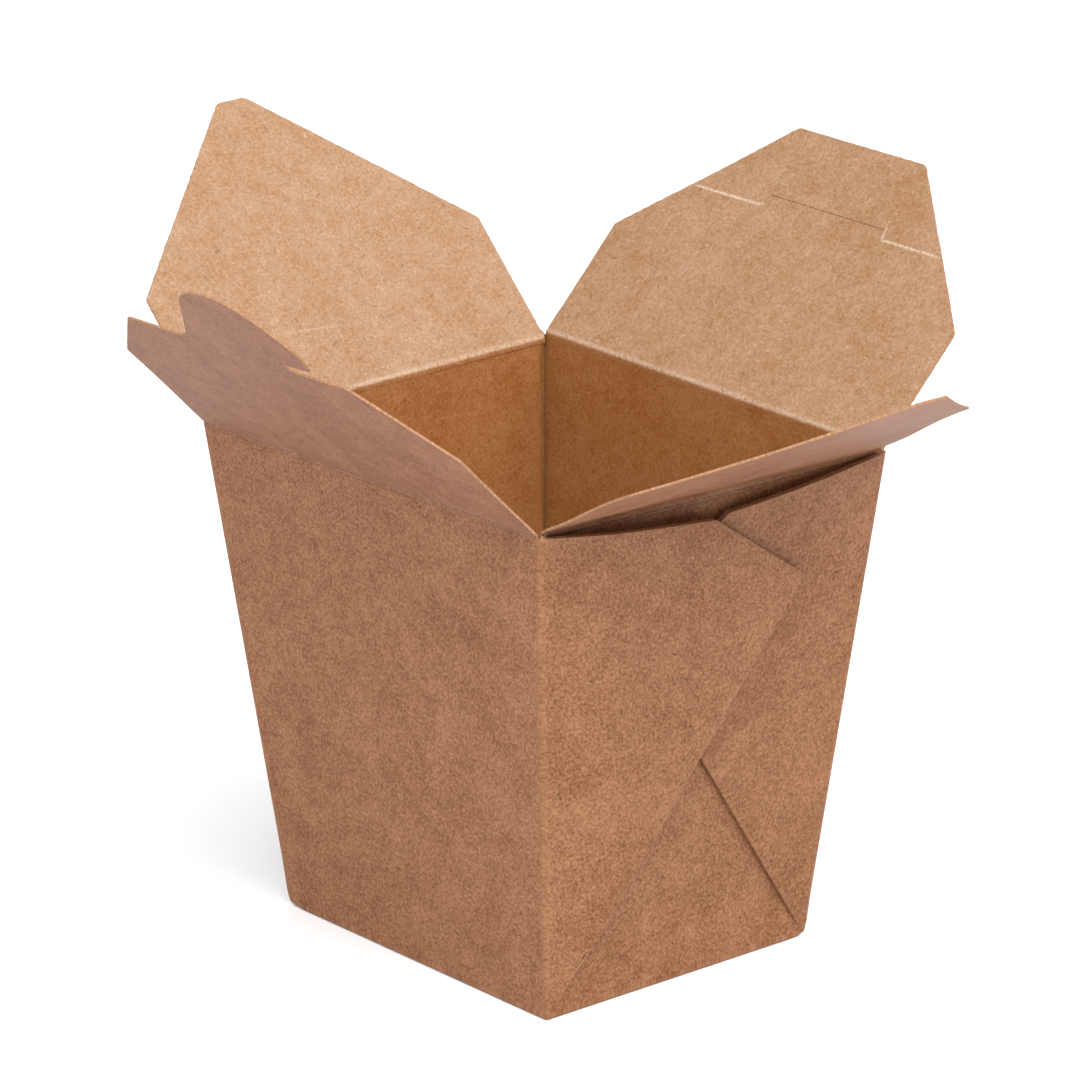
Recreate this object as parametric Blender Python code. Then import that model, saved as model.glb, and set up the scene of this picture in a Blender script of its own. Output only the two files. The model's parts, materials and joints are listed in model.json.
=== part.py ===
"""Folded board takeaway box, standing open, with its four lid flaps.

Metres, +Z up. The origin is the centre of the base's underside. The front (-Y) and back (+Y)
walls are plain; the right (+X) and left (-X) walls carry the corner webs, folded flat outside.
"""

import math

import bmesh
import bpy
from mathutils import Matrix, Vector

MM = 0.001
UP = Vector((0.0, 0.0, 1.0))

# The board and the clearances that a fold leaves
BOARD = 0.45 * MM
PLY_GAP = 0.15 * MM
HINGE_GAP = 0.5 * MM  # from a crease's axis down to the wall's top edge
FLAP_START = 0.45 * MM  # from a crease's axis up to the flap
BITE = 0.2 * MM  # how far joined pieces run into each other

# The body: outer sizes at the folds
BASE_X, BASE_Y = 78.8 * MM, 65.7 * MM
RIM_X, RIM_Y = 100.7 * MM, 86.2 * MM
HEIGHT = 100.0 * MM
RIM_TWIST = 0.7 * MM  # the front right and back left rim corners stand this much high, the others low
BASE_EDGE = 0.05 * MM  # the base panel stops this far inside the walls' outer faces

# The corner webs, measured from a base corner in the plane of the webbed wall
WEB_FOLD_ANGLE = math.radians(40.2)
WEB_DIAGONAL = 97.0 * MM
WEB_CUT = 29.2 * MM
WEB_TOP_DROP = 1.5 * MM
WEB_BEAD = 0.9 * MM  # width of the tight turn along the corner, where the plies are one
WEB_SPRING = 0.5 * MM  # how far the tips stand off
WEB_LIFT, WEB_LIFT_RUN = 1.8 * MM, 12.0 * MM  # the step of the front webs over the back ones
WEB_START, WEB_FULL = 0.03, 0.1  # heights, as shares, where a web begins and has its full depth
WEB_ROWS = (WEB_FULL, 0.25, 0.4, 0.55, 0.7, 0.8, 0.9, 1.0)
FLUSH = 0.03 * MM
RECESS = 2 * BOARD + 2 * PLY_GAP + FLUSH  # the webbed walls lie this deep, to make room for the plies

# The flaps: inset at each side, length of the straight side, and length of the 45 degree slope
DUST_DROP = 1.05 * MM  # the dust flaps' creases lie below the others
DUST_INSET, DUST_SIDE, DUST_SLOPE = 1.0 * MM, 27.2 * MM, 38.6 * MM
SLOT_INSET, SLOT_SIDE, SLOT_SLOPE = 1.3 * MM, 26.3 * MM, 30.7 * MM
TAB_INSET, TAB_SIDE, TAB_SLOPE = 1.3 * MM, 25.2 * MM, 16.4 * MM
SLIT_HALF, SLIT_HEIGHT, SLIT_STEP, SLIT_WIDTH = 17.0 * MM, 42.4 * MM, 2.4 * MM, 0.4 * MM
SLIT_CENTRE, SLIT_SPLAY = 1.0 * MM, 1.0 * MM
TAB_LEAN = math.radians(44.6)
SLOT_LEAN = math.radians(43.7)
DUST_RIGHT_LEAN = math.radians(61.5)
DUST_LEFT_LEAN = math.radians(44.0)

# The locking tab, from the flap's end: x, height and corner radius
HOOK_X, HOOK_FOOT, HOOK_THROAT = 16.9 * MM, 2.5 * MM, 1.1 * MM
HOOK_TIP = (24.8 * MM, 2.7 * MM, 0.4 * MM)
HOOK_BACK = (26.6 * MM, 9.6 * MM, 4.0 * MM)
TAB_SHOULDER = (19.3 * MM, 24.7 * MM, 3.5 * MM)
TAB_HEAD = (3.1 * MM, 21.1 * MM, 7.0 * MM)
TAB_ROOT_X, TAB_ROOT_ROUND = -14.0 * MM, 6.0 * MM

ARC_STEPS = 6


def clear_scene():
    for thing in list(bpy.data.objects):
        bpy.data.objects.remove(thing)


def board_material(name, colour, roughness=0.9):
    finish = bpy.data.materials.new(name)
    finish.use_nodes = True
    shader = finish.node_tree.nodes["Principled BSDF"]
    shader.inputs["Base Color"].default_value = (*colour, 1.0)
    shader.inputs["Roughness"].default_value = roughness
    shader.inputs["Metallic"].default_value = 0.0
    return finish


def mesh_object(name, bm, helper=False):
    bmesh.ops.recalc_face_normals(bm, faces=bm.faces)
    mesh = bpy.data.meshes.new(name)
    bm.to_mesh(mesh)
    bm.free()
    thing = bpy.data.objects.new(name, mesh)
    bpy.context.scene.collection.objects.link(thing)
    if helper:
        thing.hide_render = True
        thing.display_type = "WIRE"
    return thing


def slab(name, outer, inner, helper=True):
    """A closed sheet between two grids of points, each a list of rows."""
    bm = bmesh.new()
    front = [[bm.verts.new(p) for p in row] for row in outer]
    back = [[bm.verts.new(p) for p in row] for row in inner]
    last_row, last_col = len(outer) - 1, len(outer[0]) - 1
    for i in range(last_row):
        for j in range(last_col):
            for side in (front, back):
                bm.faces.new((side[i][j], side[i][j + 1], side[i + 1][j + 1], side[i + 1][j]))
        for j in (0, last_col):
            bm.faces.new((front[i][j], front[i + 1][j], back[i + 1][j], back[i][j]))
    for j in range(last_col):
        for i in (0, last_row):
            bm.faces.new((front[i][j], front[i][j + 1], back[i][j + 1], back[i][j]))
    bmesh.ops.triangulate(bm, faces=bm.faces)
    return mesh_object(name, bm, helper)


def combine(thing, other, operation, solver="EXACT"):
    step = thing.modifiers.new(f"{operation.lower()}_{other.name}", "BOOLEAN")
    step.operation = operation
    step.solver = solver
    step.object = other


# The body. A corner is named by its signs along X and Y, and s runs up a corner line from 0 to 1.


def base_corner(sx, sy):
    return Vector((sx * BASE_X / 2, sy * BASE_Y / 2, 0.0))


def rim_corner(sx, sy):
    return Vector((sx * RIM_X / 2, sy * RIM_Y / 2, HEIGHT - sx * sy * RIM_TWIST))


def on_corner_line(sx, sy, s):
    return base_corner(sx, sy).lerp(rim_corner(sx, sy), s)


def recess(s):
    """How far a webbed wall lies behind its corner lines, to leave room for the folded webs."""
    return RECESS * min(s / WEB_FULL, 1.0)


class Wall:
    """A wall between two corner lines, the left one first as seen from outside."""

    def __init__(self, left, right, webbed=False):
        self.ends = (left, right)
        self.webbed = webbed
        self.along = (base_corner(*right) - base_corner(*left)).normalized()
        rise = [rim_corner(*end) - base_corner(*end) for end in self.ends]
        self.normal = self.along.cross(rise[0] + rise[1]).normalized()
        self.up = self.normal.cross(self.along)

    def middle(self, end, s):
        """A point of the board's middle layer, on the corner line of that end."""
        depth = BOARD / 2 + (recess(s) if self.webbed else 0.0)
        return on_corner_line(*end, s) - self.normal * depth

    def crease(self):
        """The two ends of the crease, which is the middle layer's line below the rim."""
        drop = DUST_DROP if self.webbed else 0.0
        return [self.middle(end, 1.0 - drop / rim_corner(*end).z) for end in self.ends]

    def build(self, name, helper=True):
        """The flat wall up to just under its crease. A webbed wall runs a little into its neighbours."""
        levels = (BITE / HEIGHT, WEB_FULL) if self.webbed else (BITE / HEIGHT,)
        rows = [[self.middle(end, s) for end in self.ends] for s in levels]
        rows.append([p - self.up * HINGE_GAP for p in self.crease()])
        if self.webbed:
            rows = [[left - self.along * BITE, right + self.along * BITE] for left, right in rows]
        half = self.normal * BOARD / 2
        outer, inner = ([[p + side for p in row] for row in rows] for side in (half, -half))
        return slab(name, outer, inner, helper)


FRONT_LEFT, FRONT_RIGHT, BACK_RIGHT, BACK_LEFT = (-1, -1), (1, -1), (1, 1), (-1, 1)
FRONT = Wall(FRONT_LEFT, FRONT_RIGHT)
BACK = Wall(BACK_RIGHT, BACK_LEFT)
RIGHT = Wall(FRONT_RIGHT, BACK_RIGHT, webbed=True)
LEFT = Wall(BACK_LEFT, FRONT_LEFT, webbed=True)


def base_panel(name):
    rows = []
    for z in (0.0, BOARD):
        share = z / HEIGHT
        half_x = BASE_X / 2 + (RIM_X - BASE_X) / 2 * share - BASE_EDGE
        half_y = BASE_Y / 2 + (RIM_Y - BASE_Y) / 2 * share - BASE_EDGE
        rows.append([[Vector((x, y, z)) for x in (-half_x, half_x)] for y in (-half_y, half_y)])
    return slab(name, *rows)


class Web:
    """One corner gusset: two plies folded along its diagonal, lying outside a webbed wall."""

    def __init__(self, wall, corner, over):
        self.origin = base_corner(*corner)
        self.along = wall.along if corner == wall.ends[0] else -wall.along
        self.normal = wall.normal
        self.up = wall.up
        self.over = over
        rim = rim_corner(*corner) - self.origin
        rim = Vector((rim.dot(self.along), rim.dot(self.up)))
        self.side = rim.normalized()
        self.fold = Matrix.Rotation(-WEB_FOLD_ANGLE, 2) @ self.side
        self.across = Vector((self.fold.y, -self.fold.x))
        self.top = rim * (1.0 - WEB_TOP_DROP / rim.length)
        apex = self.fold * WEB_DIAGONAL
        notch = apex - self.across * WEB_CUT
        top_points = [self.top.lerp(notch, share) for share in (0.3, 0.6, 1.0)]
        self.rays = top_points + [notch.lerp(apex, 0.5), apex]

    def reach(self, flat):
        """Distance of a point of the web from the corner line."""
        return flat.x * self.side.y - flat.y * self.side.x

    def lift(self, flat):
        """How far the web stands off the wall there: it springs open, and one rides over the other."""
        reach = self.reach(flat)
        raised = WEB_LIFT * min(reach / WEB_LIFT_RUN, 1.0) if self.over else 0.0
        return raised + WEB_SPRING * reach / self.reach(self.rays[-1])

    def place(self, flat, height):
        return self.origin + self.along * flat.x + self.up * flat.y + self.normal * height

    def row(self, s):
        """Flat points across one row: the bead at the corner line, then the rays out to the fold."""
        out = Vector((self.side.y, -self.side.x))
        bead = min(WEB_BEAD, 0.2 * s * self.reach(self.rays[2]))
        edge = [self.top * s + out * bead * share for share in (0.2, 1.0, 1.1)]
        return edge + [ray * s for ray in self.rays]

    def envelope(self, name):
        """Both plies as one, sunk into the wall along the corner line."""
        outer, inner = [], []
        for s in (WEB_START, *WEB_ROWS):
            wall = -recess(s)
            under, face = [], []
            for index, flat in enumerate(self.row(s)):
                sunk = index < 2 or s < WEB_FULL
                lift = self.lift(flat) if s >= WEB_FULL else 0.0
                under.append(self.place(flat, wall - BITE if sunk else wall + PLY_GAP + lift))
                face.append(self.place(flat, lift - FLUSH))
            outer.append(face)
            inner.append(under)
        return slab(name, outer, inner)

    def gap(self, name):
        """The space between the two plies, open at the web's cut edge."""
        outer, inner = [], []
        for s in (*WEB_ROWS, 1.03):
            flats = self.row(s)
            flats = flats[1:2] + flats[3:-1] + [flats[-1] - self.across * BOARD]
            heights = [PLY_GAP + BOARD + self.lift(flat) - recess(s) for flat in flats]
            inner.append([self.place(flat, h) for flat, h in zip(flats, heights)])
            outer.append([self.place(flat, h + PLY_GAP) for flat, h in zip(flats, heights)])
        return slab(name, outer, inner)

    def build(self, name):
        plies = self.envelope(name)
        combine(plies, self.gap(f"{name}_gap"), "DIFFERENCE")
        return plies


def make_box():
    box = FRONT.build("box", helper=False)
    pieces = [base_panel("base_panel"), BACK.build("back_wall")]
    for side, wall in (("right", RIGHT), ("left", LEFT)):
        pieces.append(wall.build(f"{side}_wall"))
        for corner in wall.ends:
            in_front = corner in FRONT.ends
            web = Web(wall, corner, over=in_front)
            pieces.append(web.build(f"{side}_{'front' if in_front else 'back'}_web"))
    for piece in pieces:
        combine(box, piece, "UNION", solver="MANIFOLD")  # EXACT leaves open edges where plies meet
    box.data.materials.append(board_material("kraft_box", (0.41, 0.2, 0.105)))
    return box


# The flaps: outlines in their own plane, x along the crease and z away from it


def rounded(corners):
    """An outline from (x, z, radius) corners, each corner turned into an arc."""
    points = []
    for index, (x, z, radius) in enumerate(corners):
        here = Vector((x, z))
        if radius == 0:
            points.append(here)
            continue
        before = (Vector(corners[index - 1][:2]) - here).normalized()
        after = (Vector(corners[(index + 1) % len(corners)][:2]) - here).normalized()
        half = before.angle(after) / 2
        centre = here + (before + after).normalized() * (radius / math.sin(half))
        start = here + before * (radius / math.tan(half)) - centre
        sweep = (math.pi - 2 * half) * (1 if before.cross(after) < 0 else -1)
        for step in range(ARC_STEPS + 1):
            points.append(centre + Matrix.Rotation(sweep * step / ARC_STEPS, 2) @ start)
    return points


def plate(name, outline, helper=False, thickness=BOARD):
    """A flat piece of board: the outline in x and z, its thickness centred on y = 0."""
    bm = bmesh.new()
    face = bm.faces.new([bm.verts.new((p.x, -thickness / 2, p.y)) for p in outline])
    grown = bmesh.ops.extrude_face_region(bm, geom=[face])["geom"]
    far_side = [part for part in grown if isinstance(part, bmesh.types.BMVert)]
    bmesh.ops.translate(bm, vec=(0, thickness, 0), verts=far_side)
    return mesh_object(name, bm, helper)


def sloped_corners(width, inset, side, slope, blunt):
    """Right half and left half of a flap whose sides turn in at 45 degrees."""
    half = width / 2 - inset
    right = [(half, FLAP_START, 0), (half, side, blunt), (half - slope, side + slope, blunt)]
    left = [(-x, z, r) for x, z, r in reversed(right)]
    return right, left


def dust_outline():
    right, left = sloped_corners(RIM_Y, DUST_INSET, DUST_SIDE, DUST_SLOPE, 1.0 * MM)
    return rounded(right + left)


def slot_outline():
    right, left = sloped_corners(RIM_X, SLOT_INSET, SLOT_SIDE, SLOT_SLOPE, 1.5 * MM)
    return rounded(right + left)


def tab_outline():
    """The locking tab leans to one side and ends in a hook, above an undercut notch."""
    right, left = sloped_corners(RIM_X, TAB_INSET, TAB_SIDE, TAB_SLOPE, 2.0 * MM)
    end = right[-1][1]
    throat = [(HOOK_X, end, HOOK_THROAT), (HOOK_X, end + HOOK_FOOT, HOOK_THROAT)]
    head = [(x, end + z, radius) for x, z, radius in (HOOK_TIP, HOOK_BACK, TAB_SHOULDER, TAB_HEAD)]
    return rounded(right + throat + head + [(TAB_ROOT_X, end, TAB_ROOT_ROUND)] + left)


def slit_outline():
    """A straight cut with a short step towards the crease at each end."""
    low = SLIT_HEIGHT - SLIT_STEP
    wide = SLIT_HALF + SLIT_SPLAY
    half_cut = SLIT_WIDTH / 2
    upper = [(wide + half_cut, low), (SLIT_HALF, SLIT_HEIGHT + half_cut)]
    lower = [(SLIT_HALF - half_cut, SLIT_HEIGHT - half_cut), (wide - half_cut, low)]
    upper = [(-x, z) for x, z in upper] + upper[::-1]
    lower = lower[::-1] + [(-x, z) for x, z in lower]
    return [Vector((x + SLIT_CENTRE, z)) for x, z in upper + lower]


def hang(flap, crease, lean):
    """Stands a flap on its crease, leaning outward by lean from upright."""
    first, second = crease
    direction = (second - first).normalized()
    upright = (UP - direction * direction.z).normalized()
    inward = upright.cross(direction)
    away = upright * math.cos(lean) - inward * math.sin(lean)
    across = away.cross(direction)
    turn = Matrix((direction, across, away)).transposed().to_4x4()
    flap.matrix_world = Matrix.Translation((first + second) / 2) @ turn


def make_flaps():
    tab = plate("tab_flap", tab_outline())
    hang(tab, FRONT.crease(), TAB_LEAN)
    tab.data.materials.append(board_material("kraft_tab", (0.43, 0.22, 0.13)))

    slot = plate("slot_flap", slot_outline())
    slit = plate("slot_flap_slit", slit_outline(), helper=True, thickness=4 * BOARD)
    for thing in (slot, slit):
        hang(thing, BACK.crease(), SLOT_LEAN)
    combine(slot, slit, "DIFFERENCE")
    slot.data.materials.append(board_material("kraft_slot", (0.56, 0.32, 0.18)))

    right = plate("dust_flap_right", dust_outline())
    hang(right, RIGHT.crease(), DUST_RIGHT_LEAN)
    right.data.materials.append(board_material("kraft_dust_right", (0.45, 0.24, 0.16)))

    left = plate("dust_flap_left", dust_outline())
    hang(left, LEFT.crease(), DUST_LEFT_LEAN)
    left.data.materials.append(board_material("kraft_dust_left", (0.63, 0.38, 0.23)))


clear_scene()
make_box()
make_flaps()
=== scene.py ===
"""Looks of the folded board takeaway box: one bent sheet for the body and one for each lid flap.

Metres, +Z up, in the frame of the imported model: the front (-Y) and back (+Y) walls are plain, and
the right (+X) and left (-X) walls carry the corner webs. Each sheet is laid out through the middle
of the board and then given the board's thickness, with its printed side, brown side and cut edge
in finishes of their own.
"""

import math
import random

import bmesh
import bpy
from mathutils import Matrix, Vector, noise
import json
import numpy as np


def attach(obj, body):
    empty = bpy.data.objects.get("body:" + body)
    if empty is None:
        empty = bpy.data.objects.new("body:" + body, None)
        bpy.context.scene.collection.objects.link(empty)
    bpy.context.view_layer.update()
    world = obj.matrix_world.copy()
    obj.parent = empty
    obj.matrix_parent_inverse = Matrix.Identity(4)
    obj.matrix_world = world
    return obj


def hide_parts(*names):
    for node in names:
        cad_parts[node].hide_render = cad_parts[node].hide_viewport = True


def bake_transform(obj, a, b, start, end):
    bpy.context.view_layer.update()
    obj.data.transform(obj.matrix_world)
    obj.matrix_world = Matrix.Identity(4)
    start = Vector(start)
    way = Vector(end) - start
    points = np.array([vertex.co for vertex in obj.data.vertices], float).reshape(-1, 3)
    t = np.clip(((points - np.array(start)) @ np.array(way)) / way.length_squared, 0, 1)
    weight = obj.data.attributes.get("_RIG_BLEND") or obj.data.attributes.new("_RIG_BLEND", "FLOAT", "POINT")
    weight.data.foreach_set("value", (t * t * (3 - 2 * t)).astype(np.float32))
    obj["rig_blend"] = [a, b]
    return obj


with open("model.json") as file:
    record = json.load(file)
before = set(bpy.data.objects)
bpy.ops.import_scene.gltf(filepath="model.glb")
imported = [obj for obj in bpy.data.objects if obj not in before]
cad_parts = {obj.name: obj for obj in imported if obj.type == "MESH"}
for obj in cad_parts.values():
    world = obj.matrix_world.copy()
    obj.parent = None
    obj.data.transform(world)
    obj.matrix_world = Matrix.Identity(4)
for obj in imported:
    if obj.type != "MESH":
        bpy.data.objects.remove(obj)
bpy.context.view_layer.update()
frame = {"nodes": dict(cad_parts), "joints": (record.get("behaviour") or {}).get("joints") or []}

MM = 0.001
UP = Vector((0.0, 0.0, 1.0))

# The board and its bends, all measured to the middle of its thickness
BOARD = 0.45 * MM
HALF = BOARD / 2
CORNER_BEND = 0.5 * MM  # round an upright corner
PLY_BEND = 0.3 * MM  # where a web folds back on itself
RECESS = 1.23 * MM  # the webbed walls lie this deep behind their corners
SLIT_TOP, SLIT_FOOT = 1.25 * MM, 0.2 * MM  # opening inside each corner, between the two walls
SEAM = 1.0 * MM  # a flap's sheet reaches this far below its crease
DUST_DROP = 1.05 * MM  # the dust flaps' creases lie below the others

# The corner webs, in the plane of the webbed wall, from the base corner
WEB_FOLD_ANGLE = math.radians(40.2)
WEB_DIAGONAL = 97.0 * MM
WEB_CUT = 29.2 * MM
WEB_TOP_DROP = 0.4 * MM
WEB_LIFT, WEB_LIFT_RUN = 1.7 * MM, 14.0 * MM  # the step of the front webs over the back ones
WEB_SPRING = {True: 0.8 * MM, False: 0.5 * MM}  # how far the tips stand off, front webs and back
WEB_GAPE = {True: 1.0 * MM, False: 1.9 * MM}  # how far their upper edges bow out
WEB_FULL = 0.1  # share of the height at which a web has its full depth

# Rows and columns of the body's sheet
LEVELS = (0.012, 0.03, 0.06, 0.1, 0.15, 0.22, 0.3, 0.38, 0.46, 0.54, 0.62, 0.7, 0.77, 0.83, 0.88, 0.92, 0.95, 0.968)
WALL_STEPS = 16
ARC_STEPS = 4
TURN_STEPS = 6
PLY_STEPS = (5, 4)  # corner to notch, and notch to fold
BASE_BEND = 0.5 * MM
BLUNT_LIFT, BLUNT_PULL, BLUNT_REACH = 0.55 * MM, 0.3 * MM, 2.2 * MM
BLUNT_SHARE = {(-1, -1): 1.0, (1, -1): 0.15, (1, 1): 0.9, (-1, 1): 0.7}

# Flaps: inset at each side, length of the straight side, run and rise of the slope, corner radius
DUST_SIZES = (1.4 * MM, 28.9 * MM, 38.4 * MM, 37.6 * MM, 1.8 * MM)
SLOT_SIZES = (1.1 * MM, 26.3 * MM, 31.2 * MM, 31.2 * MM, 1.5 * MM)
TAB_SIZES = (0.8 * MM, 25.2 * MM, 16.9 * MM, 16.9 * MM, 2.0 * MM)
SLIT_HALF, SLIT_HEIGHT, SLIT_STEP, SLIT_WIDTH = 16.6 * MM, 42.2 * MM, 2.3 * MM, 0.1 * MM
SLIT_CENTRE, SLIT_SPLAY = -1.5 * MM, 0.8 * MM

# The locking tab, from the flap's end: x, height and corner radius
HOOK_X, HOOK_FOOT, HOOK_THROAT = 16.9 * MM, 2.5 * MM, 1.1 * MM
HOOK_TIP = (24.8 * MM, 2.7 * MM, 0.4 * MM)
HOOK_BACK = (26.6 * MM, 9.6 * MM, 4.0 * MM)
TAB_SHOULDER = (19.3 * MM, 24.7 * MM, 10.0 * MM)
TAB_HEAD = (3.1 * MM, 21.1 * MM, 18.0 * MM)
TAB_ROOT_X, TAB_ROOT_ROUND = -14.3 * MM, 9.0 * MM


# Small helpers


def deselect():
    bpy.ops.object.select_all(action="DESELECT")


def smooth(value):
    value = min(max(value, 0.0), 1.0)
    return value * value * (3.0 - 2.0 * value)


def bell(distance, width):
    """1 on a line, falling to 0 at that distance from it."""
    return 1.0 - smooth(abs(distance) / width)


def mix(a, b, share):
    return a + (b - a) * share


# The body's corners and walls, taken from the frame

joints = {joint["child"]: joint for joint in frame["joints"]}
box_points = [vertex.co.copy() for vertex in frame["nodes"]["box"].data.vertices]
base_points = [point for point in box_points if point.z < 0.1 * MM]


def base_corner(sx, sy):
    return max(base_points, key=lambda p: sx * p.x + sy * p.y)


def rim_corner(sx, sy):
    """The corner line's upper end, level with the creases of the plain walls."""
    low = base_corner(sx, sy)
    high = max(box_points, key=lambda p: sx * p.x + sy * p.y)
    crease = joints["tab_flap" if sy < 0 else "slot_flap"]
    height = crease["pos_m"][2] + high.x * crease["axis"][2] / crease["axis"][0]
    return low + (high - low) * (height / high.z)


class Wall:
    """A wall between two corners, the left one first as seen from outside."""

    def __init__(self, left, right, start):
        self.ends = (left, right)
        self.start = start  # where its part of the sheet's pattern lies
        self.along = (base_corner(*right) - base_corner(*left)).normalized()
        rise = [rim_corner(*end) - base_corner(*end) for end in self.ends]
        self.normal = self.along.cross(rise[0] + rise[1]).normalized()
        self.up = self.normal.cross(self.along)

    def half(self, s):
        """Half its width at that share of its height."""
        base = (base_corner(*self.ends[1]) - base_corner(*self.ends[0])).length
        rim = (rim_corner(*self.ends[1]) - rim_corner(*self.ends[0])).length
        return mix(base, rim, s) / 2


FRONT_LEFT, FRONT_RIGHT, BACK_RIGHT, BACK_LEFT = (-1, -1), (1, -1), (1, 1), (-1, 1)
FRONT = Wall(FRONT_LEFT, FRONT_RIGHT, 0.0)
RIGHT = Wall(FRONT_RIGHT, BACK_RIGHT, 0.3)
BACK = Wall(BACK_RIGHT, BACK_LEFT, 0.6)
LEFT = Wall(BACK_LEFT, FRONT_LEFT, 0.9)


class Spot:
    """A point of a sheet: its place, where it lies on the flat sheet, and how worn it is."""

    def __init__(self, place, u, v, wear=0.0):
        self.place, self.u, self.v, self.wear = place, u, v, wear


class Corner:
    """One corner of the body, from the plain wall round the two plies of the web to the webbed wall."""

    def __init__(self, sx, sy):
        self.plain = FRONT if sy < 0 else BACK
        self.webbed = RIGHT if sx > 0 else LEFT
        here = (sx, sy)
        self.plain_sign = 1 if self.plain.ends[1] == here else -1
        self.web_sign = 1 if self.webbed.ends[1] == here else -1
        self.over = sy < 0
        self.origin = base_corner(sx, sy)
        self.along = self.webbed.along * -self.web_sign
        self.rise = rim_corner(sx, sy) - self.origin
        rim = Vector((self.rise.dot(self.along), self.rise.dot(self.webbed.up)))
        self.length = rim.length
        self.side = rim.normalized()
        self.out = Vector((self.side.y, -self.side.x))
        self.fold = Matrix.Rotation(-WEB_FOLD_ANGLE, 2) @ self.side
        self.across = Vector((self.fold.y, -self.fold.x))
        self.apex = self.fold * WEB_DIAGONAL
        self.notch = self.apex - self.across * WEB_CUT
        self.top = self.side * (self.length - WEB_TOP_DROP)

    def reach(self, flat):
        """Distance of a point in the wall's plane from the corner line."""
        return flat.dot(self.out)

    def edge(self, share):
        """A point on the web's upper edge: 0 at the corner, 1 at the notch and 2 at the fold."""
        if share <= 1.0:
            return self.top.lerp(self.notch, share)
        return self.notch.lerp(self.apex, share - 1.0)

    def lift(self, flat):
        reach = self.reach(flat)
        share = reach / self.reach(self.apex)
        raised = WEB_LIFT * smooth(reach / WEB_LIFT_RUN) if self.over else 0.0
        bow = math.sin(math.pi * min(share / 0.9, 1.0)) * (max(flat.y, 0.0) / self.length) ** 8
        return raised + WEB_SPRING[self.over] * share**2 + WEB_GAPE[self.over] * bow

    def place(self, flat, height):
        return self.origin + self.along * flat.x + self.webbed.up * flat.y + self.webbed.normal * height

    def section(self, low, web, wall):
        """Spots from the plain wall to the webbed wall, at those shares of the height for each."""
        full = min(web / WEB_FULL, 1.0)
        spots = []
        half_plain, half_webbed = self.plain.half(web), self.webbed.half(web)
        level = -HALF

        def add(flat, height, wear, of_plain=True):
            reach = self.reach(flat)
            if of_plain:
                u = self.plain.start + self.plain_sign * (half_plain + reach)
            else:
                u = self.webbed.start + self.web_sign * (half_webbed + reach)
            spots.append(Spot(self.place(flat, height), u, flat.y - self.length, wear))

        # round the upright corner
        bend = CORNER_BEND * full
        for step in range(ARC_STEPS + 1):
            turn = math.pi - math.pi / 2 * step / ARC_STEPS
            s = mix(low, web, step / ARC_STEPS)
            flat = self.side * (self.length * s) + self.out * (HALF + bend + bend * math.cos(turn))
            add(flat, level - bend + bend * math.sin(turn), 0.4)
        # out along the outer ply
        width = web * self.reach(self.apex)
        starts = self.reach(flat) / (web * self.reach(self.notch))
        shares = [mix(starts, 1.0, step / PLY_STEPS[0]) for step in range(1, PLY_STEPS[0] + 1)]
        shares += [1.0 + step / PLY_STEPS[1] for step in range(1, PLY_STEPS[1])]
        shares[0] = min(shares[0], starts + 0.7 * MM / width)
        shares.append(2.0 - 0.8 * MM * full / (web * WEB_CUT))
        plies = [self.edge(share) * web for share in shares]
        ply_bend = PLY_BEND * full
        centre = self.apex * web - self.across * (ply_bend + HALF * full)
        for flat in plies:
            add(flat, level + self.lift(flat), 0.0)
        # round the fold
        middle = level + self.lift(centre) - ply_bend
        for step in range(TURN_STEPS + 1):
            turn = math.pi * step / TURN_STEPS
            flat = centre + self.across * (ply_bend * math.sin(turn))
            add(flat, middle + ply_bend * math.cos(turn), 0.5 + 0.5 * math.sin(turn), step <= TURN_STEPS / 2)
        # back along the inner ply
        for flat in reversed(plies):
            add(flat, level + self.lift(flat) - 2 * ply_bend, 0.0, False)
        # round to the wall
        depth = -HALF - RECESS * full
        inner = level - 2 * ply_bend
        bend = (inner - depth) / 2
        opening = BOARD + mix(SLIT_FOOT, SLIT_TOP, web) * full + HALF + bend
        for step in range(TURN_STEPS + 1):
            turn = math.pi * step / TURN_STEPS
            s = mix(web, wall, step / TURN_STEPS)
            reach = opening - bend * math.sin(turn)
            flat = self.side * (self.length * s) + self.out * reach
            add(flat, (inner + depth) / 2 + bend * math.cos(turn), math.sin(turn), False)
        return spots


CORNERS = {here: Corner(*here) for here in (FRONT_LEFT, FRONT_RIGHT, BACK_RIGHT, BACK_LEFT)}


def between(wall, first, last):
    """The spots of a wall between two others, its edges marked by a narrow column."""
    gap = (last.place - first.place).length
    shares = [0.8 * MM / gap] + [step / WALL_STEPS for step in range(1, WALL_STEPS)] + [1 - 0.8 * MM / gap]
    return [
        Spot(
            first.place.lerp(last.place, share),
            wall.start + (share - 0.5) * gap,
            mix(first.v, last.v, share),
        )
        for share in shares
    ]


def ring(sections):
    """All spots round the body, from the four corner sections."""
    forward = [sections[FRONT_RIGHT], sections[BACK_LEFT]]
    backward = [sections[BACK_RIGHT][::-1], sections[FRONT_LEFT][::-1]]
    turned = [forward[0], backward[0], forward[1], backward[1]]
    walls = (RIGHT, BACK, LEFT, FRONT)
    spots = []
    for index, section in enumerate(turned):
        spots += section
        spots += between(walls[index], section[-1], turned[(index + 1) % 4][0])
    return spots


def body_row(s):
    return ring({here: corner.section(s, s, s) for here, corner in CORNERS.items()})


def body_top():
    plain = 1.0 - SEAM / FRONT_HEIGHT
    webbed = 1.0 - (DUST_DROP + SEAM) / FRONT_HEIGHT
    return ring({here: corner.section(plain, 1.0, webbed) for here, corner in CORNERS.items()})


FRONT_HEIGHT = joints["tab_flap"]["pos_m"][2]


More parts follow.
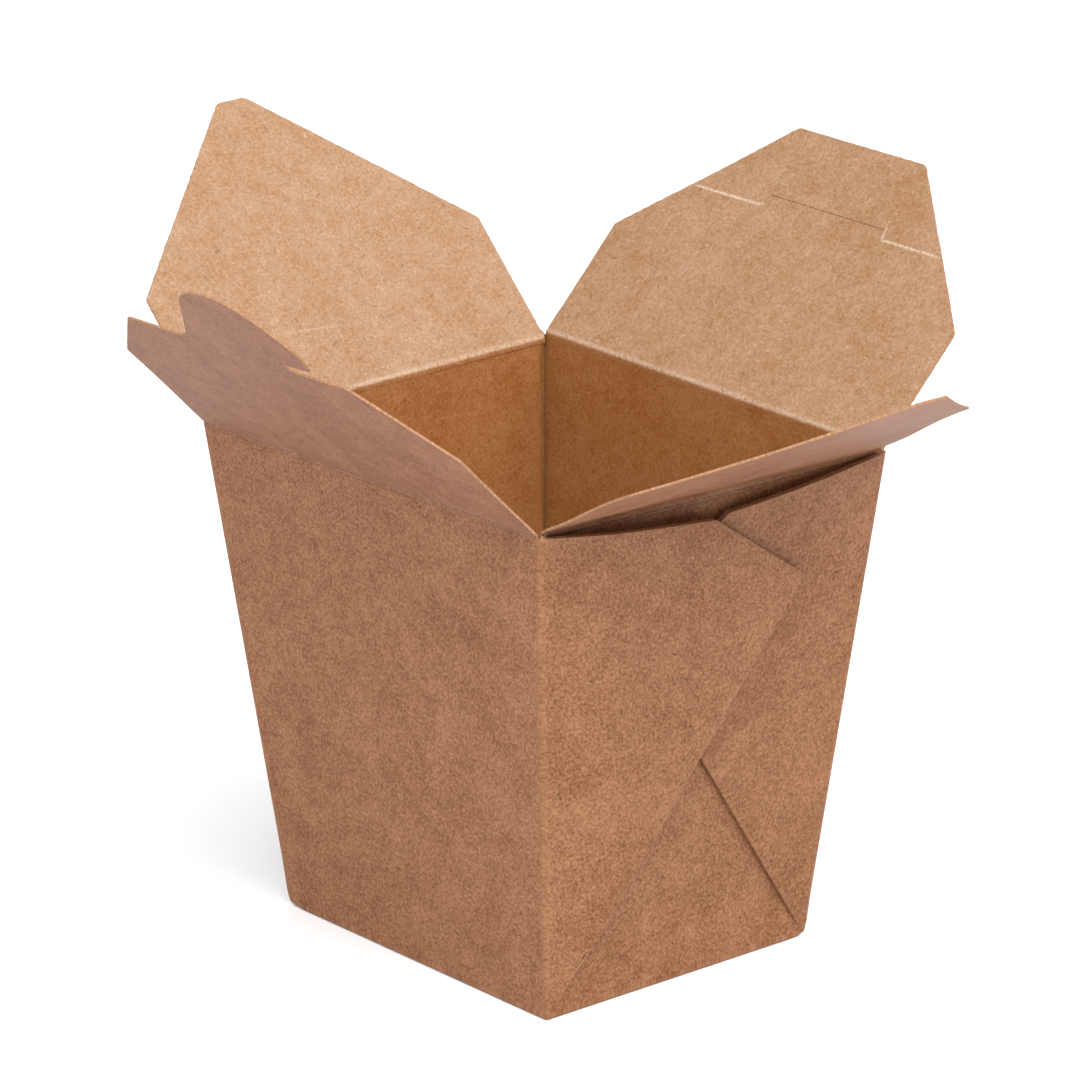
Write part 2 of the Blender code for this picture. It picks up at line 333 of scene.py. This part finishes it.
def body_foot(inset, height):
    """The ring round the base panel, that far inside the lowest row."""
    spots = body_row(LEVELS[0])
    far = base_corner(1, 1)
    for spot in spots:
        x = math.copysign(min(abs(spot.place.x), far.x - inset), spot.place.x)
        y = math.copysign(min(abs(spot.place.y), far.y - inset), spot.place.y)
        spot.place = Vector((x, y, height))
        spot.wear = 0.6
    return spots


def body_panel(inset, height):
    """The edge of the flat base panel, where the board's pattern starts afresh."""
    spots = body_foot(inset, height)
    for spot in spots:
        spot.u, spot.v, spot.wear = spot.place.x, spot.place.y, 0.0
    return spots


def store(piece, spots, names):
    """Sets the selected row of the sheet: each vertex knows its column."""
    bm = bmesh.from_edit_mesh(piece.data)
    column = bm.verts.layers.int[names[0]]
    sheet = bm.verts.layers.float_vector[names[1]]
    wear = bm.verts.layers.float[names[2]]
    for vertex in bm.verts:
        if vertex.select:
            spot = spots[vertex[column]]
            vertex.co = spot.place
            vertex[sheet] = (spot.u, spot.v, 0.0)
            vertex[wear] = spot.wear
    bmesh.update_edit_mesh(piece.data)


def box_board():
    """The body: a ring drawn up row by row round all its walls and webs, and closed by the base."""
    rows = [body_panel(BASE_BEND + 0.3 * MM, HALF), body_foot(BASE_BEND, HALF + 0.01 * MM)]
    rows.append(body_foot(0.12 * MM, 0.55 * MM))
    rows += [body_row(s) for s in LEVELS]
    rows.append(body_top())
    deselect()
    bpy.ops.mesh.primitive_circle_add(vertices=len(rows[0]), radius=base_corner(1, 1).x)
    piece = bpy.context.object
    piece.name = piece.data.name = "box_board"
    bpy.ops.object.mode_set(mode="EDIT")
    bm = bmesh.from_edit_mesh(piece.data)
    names = ("column", "sheet", "wear")
    column = bm.verts.layers.int.new(names[0])
    bm.verts.layers.float_vector.new(names[1])
    bm.verts.layers.float.new(names[2])
    column = bm.verts.layers.int[names[0]]
    for index, vertex in enumerate(bm.verts):
        vertex[column] = index
    bmesh.update_edit_mesh(piece.data)
    for index, row in enumerate(rows):
        if index:
            bpy.ops.mesh.extrude_region_move()
        store(piece, row, names)
    bpy.ops.mesh.select_all(action="DESELECT")
    bm = bmesh.from_edit_mesh(piece.data)
    for vertex in bm.verts:
        vertex.select = abs(vertex.co.z - HALF) < 1e-6
    bm.select_flush(True)
    bmesh.update_edit_mesh(piece.data)
    bpy.ops.mesh.edge_face_add()
    bpy.ops.mesh.select_all(action="SELECT")
    bpy.ops.mesh.remove_doubles(threshold=0.005 * MM)
    bpy.ops.mesh.normals_make_consistent(inside=False)
    bpy.ops.object.mode_set(mode="OBJECT")
    for vertex in piece.data.vertices:
        for here, corner in CORNERS.items():
            near = bell((vertex.co - corner.origin).length, BLUNT_REACH) * BLUNT_SHARE[here]
            vertex.co += (UP * BLUNT_LIFT - corner.origin.normalized() * BLUNT_PULL) * near
    return piece


# The flaps: outlines on the flat sheet, x along the crease and z away from it


def rounded(corners, steps=8):
    """An outline from (x, z, radius) corners, each corner turned into an arc."""
    points = []
    for index, (x, z, radius) in enumerate(corners):
        here = Vector((x, z))
        if radius == 0:
            points.append(here)
            continue
        before = (Vector(corners[index - 1][:2]) - here).normalized()
        after = (Vector(corners[(index + 1) % len(corners)][:2]) - here).normalized()
        half = before.angle(after) / 2
        centre = here + (before + after).normalized() * (radius / math.sin(half))
        start = here + before * (radius / math.tan(half)) - centre
        sweep = (math.pi - 2 * half) * (1 if before.cross(after) < 0 else -1)
        for step in range(steps + 1):
            points.append(centre + Matrix.Rotation(sweep * step / steps, 2) @ start)
    return points


def uneven(outline, seed, step=0.8 * MM, rough=0.035 * MM):
    """The outline with more points, each a little off, as a die leaves a board's edge."""
    draw = random.Random(seed)
    points = []
    for index, here in enumerate(outline):
        after = outline[(index + 1) % len(outline)]
        count = max(int((after - here).length / step), 1)
        for part in range(count):
            point = here.lerp(after, part / count)
            if point.y > 0:
                point = point + Vector((draw.gauss(0, rough), draw.gauss(0, rough)))
            points.append(point)
    return points


def sloped_corners(width, sizes):
    """Right half and left half of a flap whose sides turn in at a slope."""
    inset, side, run, rise, blunt = sizes
    half = width / 2 - inset
    right = [(half, -SEAM, 0), (half, side, blunt), (half - run, side + rise, blunt)]
    left = [(-x, z, r) for x, z, r in reversed(right)]
    return right, left


def plain_width():
    return 2 * abs(rim_corner(1, -1).x)


def webbed_width():
    return 2 * abs(rim_corner(1, -1).y)


def dust_outline():
    right, left = sloped_corners(webbed_width(), DUST_SIZES)
    return rounded(right + left)


def slot_outline():
    right, left = sloped_corners(plain_width(), SLOT_SIZES)
    return rounded(right + left)


def tab_outline():
    """The locking tab leans to one side and ends in a hook, above an undercut notch."""
    right, left = sloped_corners(plain_width(), TAB_SIZES)
    end = right[-1][1]
    throat = [(HOOK_X, end, HOOK_THROAT), (HOOK_X, end + HOOK_FOOT, HOOK_THROAT)]
    head = [(x, end + z, radius) for x, z, radius in (HOOK_TIP, HOOK_BACK, TAB_SHOULDER, TAB_HEAD)]
    return rounded(right + throat + head + [(TAB_ROOT_X, end, TAB_ROOT_ROUND)] + left)


class Crease:
    """Where a flap hangs: its line, and the frame that its lean is measured in."""

    def __init__(self, node):
        joint = joints[node]
        self.node = node
        self.origin = Vector(joint["pos_m"])
        self.direction = -Vector(joint["axis"]).normalized()
        self.upright = (UP - self.direction * self.direction.z).normalized()
        self.outward = self.direction.cross(self.upright)
        points = [vertex.co for vertex in frame["nodes"][node].data.vertices]
        away = sum(points, Vector()) / len(points) - self.origin
        self.lean = math.atan2(away.dot(self.outward), away.dot(self.upright))

    def away(self, lean):
        return self.upright * math.cos(lean) + self.outward * math.sin(lean)


BEND_STEP = 0.1 * MM
SWELL = 0.25 * MM  # height of the slow waves in a flap
TIGHT = (-0.35 * MM, 0.4 * MM)  # where a flap's bend starts and ends, from its crease


def bend_sheet(crease, wall, profile, twist, bend):
    """Returns the rule that puts a point of the flat sheet in place, on a flap bent at its crease."""
    wall_lean = math.atan2(wall.up.dot(crease.outward), wall.up.dot(crease.upright))
    half_width = plain_width() / 2
    first, last = bend

    def lean_at(v):
        share = smooth((v - first) / (last - first))
        return mix(wall_lean, crease.lean + profile(max(v, 0.0)), share)

    def run(v):
        return Vector((math.sin(lean_at(v)), math.cos(lean_at(v)))) * BEND_STEP

    path = [Vector((0.0, 0.0))]
    for step in range(int(90 * MM / BEND_STEP)):
        path.append(path[-1] + run((step + 0.5) * BEND_STEP))
    below = [Vector((0.0, 0.0))]
    for step in range(int(2 * SEAM / BEND_STEP)):
        below.append(below[-1] - run(-(step + 0.5) * BEND_STEP))

    def place(x, v):
        line = path if v > 0 else below
        position = abs(v) / BEND_STEP
        index = min(int(position), len(line) - 2)
        flat = line[index].lerp(line[index + 1], position - index)
        lean = lean_at(v)
        wave = noise.noise(Vector((x, v, crease.lean)) / (28 * MM)) * SWELL * smooth(v / (12 * MM))
        flat = flat + Vector((math.cos(lean), -math.sin(lean))) * wave
        flat = Matrix.Rotation(-twist * x / half_width * smooth(v / (6 * MM)), 2) @ flat
        return crease.origin + crease.direction * x + crease.outward * flat.x + crease.upright * flat.y

    return place


NEAR_CREASE = [z * MM for z in (-0.7, -0.5, -0.3, -0.15, 0.0, 0.15, 0.3, 0.45, 0.6, 0.8, 1.1, 1.6, 2.4)]
GRID = 2.6 * MM


class Stroke:
    """A straight crease or scuff on a flat sheet, between two points (x, v)."""

    def __init__(self, first, second, width, strength):
        self.first = Vector(first) * MM
        self.run = Vector(second) * MM - self.first
        self.side = Vector((-self.run.y, self.run.x)).normalized()
        self.width, self.strength = width * MM, strength

    def cuts(self):
        """Lines to rule beside it, so that the sheet has points to hold it."""
        spots = [self.first + self.side * self.width * share for share in (-1.0, -0.5, 0.0, 0.5, 1.0)]
        return [((spot.x, spot.y, 0), (self.side.x, self.side.y, 0)) for spot in spots]

    def wear(self, x, v):
        here = Vector((x, v)) - self.first
        share = here.dot(self.run) / self.run.length_squared
        ends = smooth(share * 12 + 0.5) * smooth((1 - share) * 12 + 0.5)
        return self.strength * bell(here.dot(self.side), self.width) * ends


def flat_piece(name, points):
    """A flat face of that outline, ready to be ruled, bent and thickened."""
    deselect()
    bpy.ops.mesh.primitive_circle_add(vertices=len(points), radius=50 * MM, fill_type="NGON")
    piece = bpy.context.object
    piece.name = piece.data.name = name
    for vertex, point in zip(piece.data.vertices, points):
        vertex.co = (point.x, point.y, 0.0)
    return piece


def inside(point, outline):
    """Whether a point lies inside an outline."""
    crossed = False
    for here, after in zip(outline, outline[1:] + outline[:1]):
        if (here.y > point.y) != (after.y > point.y):
            share = (point.y - here.y) / (after.y - here.y)
            crossed ^= point.x < here.x + share * (after.x - here.x)
    return crossed


def flap_board(name, outline, seed, place, start, strokes, slit):
    """A flap's sheet: its outline cut out, ruled into small squares and bent into place."""
    points = uneven(outline, seed)
    piece = flat_piece(name, points)
    bpy.ops.object.mode_set(mode="EDIT")
    bpy.ops.mesh.quads_convert_to_tris(ngon_method="BEAUTY")
    half = max(point.x for point in points)
    far = max(point.y for point in points)
    rules = [((0, v, 0), (0, 1, 0)) for v in NEAR_CREASE]
    rules += [((0, v * GRID, 0), (0, 1, 0)) for v in range(2, int(far / GRID) + 1)]
    columns = int(half / GRID)
    rules += [((x * GRID, 0, 0), (1, 0, 0)) for x in range(-columns, columns + 1)]
    for stroke in strokes:
        rules += stroke.cuts()
    for here, after in zip(slit, slit[1:] + slit[:1]):
        run = after - here
        rules.append(((here.x, here.y, 0), (-run.y, run.x, 0)))
    for origin, normal in rules:
        bpy.ops.mesh.select_all(action="SELECT")
        bpy.ops.mesh.bisect(plane_co=origin, plane_no=normal, threshold=0.002 * MM)
    bpy.ops.mesh.select_all(action="SELECT")
    bpy.ops.mesh.remove_doubles(threshold=0.01 * MM)
    bpy.ops.mesh.select_all(action="DESELECT")
    bpy.ops.object.mode_set(mode="OBJECT")
    for polygon in piece.data.polygons:
        polygon.select = inside(polygon.center.to_2d(), slit)
    bpy.ops.object.mode_set(mode="EDIT")
    bpy.ops.mesh.delete(type="FACE")
    bpy.ops.object.mode_set(mode="OBJECT")
    mesh = piece.data
    mesh.attributes.new("sheet", "FLOAT_VECTOR", "POINT")
    mesh.attributes.new("wear", "FLOAT", "POINT")
    sheet, wear = mesh.attributes["sheet"], mesh.attributes["wear"]
    for index, vertex in enumerate(mesh.vertices):
        x, v = vertex.co.x, vertex.co.y
        sheet.data[index].vector = (x + start, v, 0.0)
        wear.data[index].value = max([bell(v, 1.3 * MM if v > 0 else 0.5 * MM)] + [stroke.wear(x, v) for stroke in strokes])
        vertex.co = place(x, v)
    return piece


def board_thickness(piece, finishes):
    """Gives a sheet the board's thickness, printed side out, and its three finishes."""
    for finish in finishes:
        piece.data.materials.append(finish)
    step = piece.modifiers.new("board", "SOLIDIFY")
    step.thickness = BOARD
    step.offset = 0.0
    step.use_quality_normals = True
    step.material_offset = 1
    step.material_offset_rim = 2
    apply_steps(piece)
    bpy.ops.object.shade_smooth_by_angle(angle=math.radians(35))


def apply_steps(piece):
    deselect()
    bpy.context.view_layer.objects.active = piece
    piece.select_set(True)
    for step in list(piece.modifiers):
        bpy.ops.object.modifier_apply(modifier=step.name)


# Finishes. Every pattern follows the flat sheet, in metres, through its "sheet" attribute.


class Finish:
    """A material built up node by node."""

    def __init__(self, name):
        self.material = bpy.data.materials.new(name)
        self.material.use_nodes = True
        self.tree = self.material.node_tree
        self.shader = self.tree.nodes["Principled BSDF"]

    def node(self, kind, inputs, **settings):
        made = self.tree.nodes.new(kind)
        for key, value in settings.items():
            setattr(made, key, value)
        for key, value in inputs.items():
            self.feed(made.inputs[key], value)
        return made

    def feed(self, socket, value):
        if isinstance(value, bpy.types.NodeSocket):
            self.tree.links.new(value, socket)
        else:
            socket.default_value = value

    def attribute(self, name, output):
        return self.node("ShaderNodeAttribute", {}, attribute_name=name).outputs[output]

    def noise(self, vector, size, detail=3.0, rough=0.55, warp=0.0):
        """Cloudy noise, whose patches are about that large."""
        inputs = {"Vector": vector, "Scale": 1.0 / size, "Detail": detail, "Roughness": rough, "Distortion": warp}
        return self.node("ShaderNodeTexNoise", inputs, noise_dimensions="2D").outputs[0]

    def flecks(self, vector, angle, cell, stretch, size):
        """Short fibres lying one way, one in each cell, with soft ends."""
        scale = (1.0 / (cell * stretch), 1.0 / cell, 1.0)
        turned = self.node("ShaderNodeMapping", {"Vector": vector, "Rotation": (0.0, 0.0, angle)})
        drawn = self.node("ShaderNodeMapping", {"Vector": turned.outputs[0], "Scale": scale})
        inputs = {"Vector": drawn.outputs[0], "Scale": 1.0}
        away = self.node("ShaderNodeTexVoronoi", inputs, voronoi_dimensions="2D").outputs["Distance"]
        return self.range(away, 0.5 * size, size, 1.0, 0.0)

    def curls(self, vector, size, warp):
        """Thin curling threads: the level lines of a cloudy noise, broken up by a second one."""
        cloud = self.math("SUBTRACT", self.noise(vector, size, 2.0, 0.5, warp), 0.5)
        line = self.range(self.math("ABSOLUTE", cloud), 0.004, 0.022, 1.0, 0.0)
        return self.math("MULTIPLY", line, self.range(self.noise(vector, 0.9 * size, 1.0), 0.5, 0.58))

    def range(self, value, low, high, to_low=0.0, to_high=1.0):
        inputs = {"Value": value, "From Min": low, "From Max": high, "To Min": to_low, "To Max": to_high}
        return self.node("ShaderNodeMapRange", inputs).outputs[0]

    def math(self, operation, a, b=0.0, c=0.0):
        return self.node("ShaderNodeMath", {0: a, 1: b, 2: c}, operation=operation).outputs[0]

    def tint(self, share, a, b, mode="MIX"):
        inputs = {0: share, 6: a, 7: b}
        return self.node("ShaderNodeMix", inputs, data_type="RGBA", blend_type=mode).outputs[2]


def rgba(colour, scale=1.0):
    return (*(part * scale for part in colour), 1.0)


# Size in millimetres, detail, warp and strength of each scale of the board's felt
FELT = ((0.6, 3.0, 0.3, 1.6), (1.7, 2.0, 1.0, 0.75), (5.0, 3.0, 0.5, 0.6), (18.0, 2.0, 0.3, 0.5))


# Angle, cell in millimetres, length to width, and share of the cell of each set of dark flecks
FLECKS = ((0.5, 13.0, 3.2, 0.025), (1.9, 15.0, 2.6, 0.022), (2.8, 12.0, 4.0, 0.018))


def kraft(name, dark, pale, worn, fleck, rough, specular, grain=1.0, scored_line_and_crease_shade=0.0, below=None):
    """Brown board: felted fibres over cloudy patches, deep brown where it is dark and pinker where
    it is pale, with a few dark flecks, and a paler, broken surface where it is folded. Where asked, it
    has a broken dark line along the crease, partly a scored crease and partly painted crease shadow,
    and painted shade multiplied in below the crease."""
    finish = Finish(name)
    sheet = finish.attribute("sheet", "Vector")
    wear = finish.attribute("wear", "Fac")
    light = 0.5
    for size, detail, warp, strength in FELT:
        cloud = finish.math("SUBTRACT", finish.noise(sheet, size * MM, detail, 0.6, warp), 0.5)
        light = finish.math("MULTIPLY_ADD", cloud, strength * grain if size < 1 else strength, light)
    brown = finish.tint(light, rgba(dark), rgba(pale))
    marks = 0.0
    for angle, cell, stretch, size in FLECKS:
        marks = finish.math("MAXIMUM", marks, finish.flecks(sheet, angle, cell * MM, stretch, size))
    brown = finish.tint(finish.math("MULTIPLY", marks, 0.65), brown, rgba(fleck))
    brown = finish.tint(finish.math("MULTIPLY", finish.curls(sheet, 1.6 * MM, 0.9), 0.3), brown, rgba(worn))
    brown = finish.tint(finish.math("MULTIPLY", finish.curls(sheet, 2.1 * MM, 1.3), 0.3), brown, rgba(fleck))
    torn = finish.math("MULTIPLY", wear, finish.range(finish.noise(sheet, 0.7 * MM, 3.0, 0.7), 0.3, 0.62))
    brown = finish.tint(finish.math("MULTIPLY", torn, 0.55), brown, rgba(worn))
    along = finish.node("ShaderNodeSeparateXYZ", {"Vector": sheet}).outputs["Y"]
    # painted shade: below its crease the sheet's colour is multiplied by the below colour, so that it takes on the
    # body's darker, shaded inside
    if below:
        painted_shade_share = finish.range(along, -0.35 * MM, 0.1 * MM, 1.0, 0.0)
        brown = finish.tint(painted_shade_share, brown, rgba(below), "MULTIPLY")
    # partly a scored crease and partly painted crease shadow: a broken dark line along the crease
    if scored_line_and_crease_shade:
        line = finish.range(finish.math("ABSOLUTE", along), 0.1 * MM, 0.22 * MM, scored_line_and_crease_shade, 0.0)
        broken = finish.range(finish.noise(sheet, 1.6 * MM, 3.0, 0.7), 0.36, 0.5)
        brown = finish.tint(finish.math("MULTIPLY", line, broken), brown, rgba(fleck))
    finish.shader.inputs["Specular IOR Level"].default_value = specular
    finish.feed(finish.shader.inputs["Base Color"], brown)
    finish.feed(finish.shader.inputs["Roughness"], finish.range(light, 0.0, 1.0, rough - 0.06, rough + 0.06))
    bump = finish.node("ShaderNodeBump", {"Height": light, "Strength": 0.3, "Distance": 0.03 * MM})
    finish.feed(finish.shader.inputs["Normal"], bump.outputs[0])
    return finish.material


def kraft_cut():
    """The board's cut edge: bare, orange fibres in layers, a little ragged."""
    finish = Finish("kraft_cut_edge")
    sheet = finish.attribute("sheet", "Vector")
    felt = finish.noise(sheet, 0.35 * MM, 3.0, 0.65, 0.8)
    brown = finish.tint(finish.range(felt, 0.3, 0.7), rgba((0.19, 0.085, 0.038)), rgba((0.36, 0.19, 0.1)))
    finish.feed(finish.shader.inputs["Base Color"], brown)
    finish.shader.inputs["Roughness"].default_value = 0.9
    bump = finish.node("ShaderNodeBump", {"Height": felt, "Strength": 0.5, "Distance": 0.08 * MM})
    finish.feed(finish.shader.inputs["Normal"], bump.outputs[0])
    return finish.material


BODY_OUTER = kraft(
    "kraft_body_outer",
    dark=(0.129, 0.037, 0.004),
    pale=(0.303, 0.143, 0.069),
    worn=(0.345, 0.17, 0.082),
    fleck=(0.069, 0.022, 0.007),
    rough=0.6,
    specular=0.25,
    grain=1.35,
    scored_line_and_crease_shade=0.8,
)
# The brown side inside the body: a darker, more saturated copy of the flaps' brown side, painted shade for the
# inside of the box
BODY_INNER_SHADED = kraft(
    "kraft_body_inner_painted_shade",
    dark=(0.197, 0.058, 0.006),
    pale=(0.308, 0.136, 0.048),
    worn=(0.387, 0.189, 0.073),
    fleck=(0.138, 0.045, 0.009),
    rough=0.62,
    specular=0.3,
)
FLAP_OUTER = kraft(
    "kraft_flap_outer",
    dark=(0.122, 0.028, 0.002),
    pale=(0.288, 0.137, 0.07),
    worn=(0.3, 0.146, 0.074),
    fleck=(0.069, 0.022, 0.007),
    rough=0.6,
    specular=0.3,
    scored_line_and_crease_shade=0.8,
)
# The flaps' brown side: a paler, whiter copy of the body's brown side, painted light and sheen for the open flaps
FLAP_INNER_LIT = kraft(
    "kraft_flap_inner_painted_light",
    dark=(0.204, 0.084, 0.017),
    pale=(0.318, 0.196, 0.119),
    worn=(0.495, 0.386, 0.291),
    fleck=(0.144, 0.065, 0.023),
    rough=0.62,
    specular=0.45,
    # painted shade below the crease, matching the body's shaded inside
    below=(0.97, 0.71, 0.44),
)
KRAFT_CUT = kraft_cut()
# The body's set holds the brown side with painted shade, the flaps' set the brown side with painted light
BODY_FINISHES = (BODY_OUTER, BODY_INNER_SHADED, KRAFT_CUT)
FLAP_FINISHES = (FLAP_OUTER, FLAP_INNER_LIT, KRAFT_CUT)


def make_box():
    piece = box_board()
    board_thickness(piece, BODY_FINISHES)
    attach(piece, "box")
    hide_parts("box")


def slit_outline():
    """A straight cut with a short step towards the crease at each end."""
    low = SLIT_HEIGHT - SLIT_STEP
    wide = SLIT_HALF + SLIT_SPLAY
    half_cut = SLIT_WIDTH / 2
    upper = [(wide + half_cut, low), (SLIT_HALF, SLIT_HEIGHT + half_cut)]
    lower = [(SLIT_HALF - half_cut, SLIT_HEIGHT - half_cut), (wide - half_cut, low)]
    upper = [(-x, z) for x, z in upper] + upper[::-1]
    lower = lower[::-1] + [(-x, z) for x, z in lower]
    return [Vector((x + SLIT_CENTRE, z)) for x, z in upper + lower]


def level(v):
    return 0.0


def steps_of(pairs):
    """A smooth rule through (distance, angle in degrees) pairs."""

    def rule(v):
        for (v0, a0), (v1, a1) in zip(pairs, pairs[1:]):
            if v <= v1:
                return math.radians(mix(a0, a1, smooth((v - v0) / (v1 - v0))))
        return math.radians(pairs[-1][1])

    return rule


def make_flap(node, outline, wall, seed, profile=level, twist=0.0, bend=TIGHT, strokes=(), slit=()):
    crease = Crease(node)
    place = bend_sheet(crease, wall, profile, twist, bend)
    piece = flap_board(f"{node}_board", outline, seed, place, wall.start, strokes, list(slit))
    board_thickness(piece, FLAP_FINISHES)
    ahead = (wall.up + crease.away(crease.lean)).normalized() * (0.6 * MM)
    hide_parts(node)
    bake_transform(piece, "box", node, start=crease.origin - ahead, end=crease.origin + ahead)
    return piece


DUST_PROFILE = steps_of([(0, 2.0), (4 * MM, 2.0), (14 * MM, -2.5), (30 * MM, 3.0), (66 * MM, -1.0)])
SLACK = (-1.0 * MM, 3.2 * MM)


# The crease across the slot flap's tip, either side of its slit, and the bend there
TIP_STROKES = (
    Stroke((34.5, 39.4), (16.2, 39.6), 0.45, 1.9),
    Stroke((16.2, 39.6), (15.2, 41.8), 0.3, 1.6),
    Stroke((-18.8, 40.0), (-35.0, 40.1), 0.45, 1.9),
    Stroke((-18.8, 39.8), (-18.2, 42.6), 0.45, 1.9),
)
TIP_PROFILE = steps_of([(0, 0), (39.2 * MM, 0), (40.4 * MM, -1.2), (60 * MM, -1.2)])
LEFT_STROKES = (Stroke((20.7, 15.3), (2.8, 13.4), 0.5, 0.5), Stroke((34.6, 0.8), (34.8, 3.2), 0.4, 1.0))


def make_flaps():
    make_flap("tab_flap", tab_outline(), FRONT, 3)
    make_flap("slot_flap", slot_outline(), BACK, 5, TIP_PROFILE, strokes=TIP_STROKES, slit=slit_outline())
    make_flap("dust_flap_right", dust_outline(), RIGHT, 7, DUST_PROFILE, math.radians(-0.6), SLACK)
    make_flap("dust_flap_left", dust_outline(), LEFT, 9, strokes=LEFT_STROKES)


# The stage

BOX_MIDDLE = (0.0, 0.0, 0.07)
LIGHTS = (
    # name, place, aim, side, power
    ("top_softbox", (0.1, -0.1, 1.0), BOX_MIDDLE, 0.9, 1.2),
    ("front_right_softbox", (0.652, -0.347, 1.016), BOX_MIDDLE, 1.0, 12.0),
    ("right_softbox", (0.76, 0.134, 0.989), BOX_MIDDLE, 1.0, 10.2),
    ("back_right_softbox", (0.545, 0.65, 0.919), BOX_MIDDLE, 1.0, 6.3),
    ("front_softbox", (0.191, -0.714, 1.016), BOX_MIDDLE, 1.0, 4.4),
    ("low_front_softbox", (0.269, -1.004, 0.67), BOX_MIDDLE, 1.0, 4.9),
    ("left_softbox", (-0.65, -0.545, 0.919), BOX_MIDDLE, 1.0, 3.3),
    ("backdrop_softbox", (-0.95, 0.8, 0.9), (-0.95, 0.8, 0.0), 1.2, 5.6),
)
SKY = 0.31


def make_stage():
    deselect()
    bpy.ops.mesh.primitive_plane_add(size=6.0)
    floor = bpy.context.object
    floor.name = "floor"
    finish = Finish("floor_white")
    finish.shader.inputs["Base Color"].default_value = (0.86, 0.87, 0.89, 1.0)
    finish.shader.inputs["Roughness"].default_value = 0.9
    floor.data.materials.append(finish.material)
    world = bpy.data.worlds.new("studio")
    world.use_nodes = True
    world.node_tree.nodes["Background"].inputs["Color"].default_value = (1.0, 1.0, 1.0, 1.0)
    world.node_tree.nodes["Background"].inputs["Strength"].default_value = SKY
    bpy.context.scene.world = world
    bpy.context.scene.view_settings.view_transform = "Standard"
    for name, place, aim, side, power in LIGHTS:
        data = bpy.data.lights.new(name, "AREA")
        data.energy = power
        data.size = side
        light = bpy.data.objects.new(name, data)
        bpy.context.scene.collection.objects.link(light)
        turn = (Vector(aim) - Vector(place)).to_track_quat("-Z", "Y").to_matrix().to_4x4()
        light.matrix_world = Matrix.Translation(place) @ turn


CAMERA_AZIMUTH, CAMERA_ELEVATION, CAMERA_ROLL = (math.radians(a) for a in (50.0, 18.36, -0.4))
CAMERA_DISTANCE = 1.206
CAMERA_TARGET = (-1.0 * MM, 74.3 * MM)
CAMERA_LENS = 205.43


def make_camera():
    back = Vector((
        math.sin(CAMERA_AZIMUTH) * math.cos(CAMERA_ELEVATION),
        -math.cos(CAMERA_AZIMUTH) * math.cos(CAMERA_ELEVATION),
        math.sin(CAMERA_ELEVATION),
    ))
    level_right = Vector((math.cos(CAMERA_AZIMUTH), math.sin(CAMERA_AZIMUTH), 0.0))
    level_up = back.cross(level_right)
    c, s = math.cos(CAMERA_ROLL), math.sin(CAMERA_ROLL)
    right = level_right * c + level_up * s
    up = level_up * c - level_right * s
    data = bpy.data.cameras.new("camera")
    data.lens = CAMERA_LENS
    camera = bpy.data.objects.new("camera", data)
    bpy.context.scene.collection.objects.link(camera)
    place = right * CAMERA_TARGET[0] + up * CAMERA_TARGET[1] + back * CAMERA_DISTANCE
    camera.matrix_world = Matrix.Translation(place) @ Matrix((right, up, back)).transposed().to_4x4()
    bpy.context.scene.camera = camera


make_box()
make_flaps()
make_stage()
make_camera()

import json
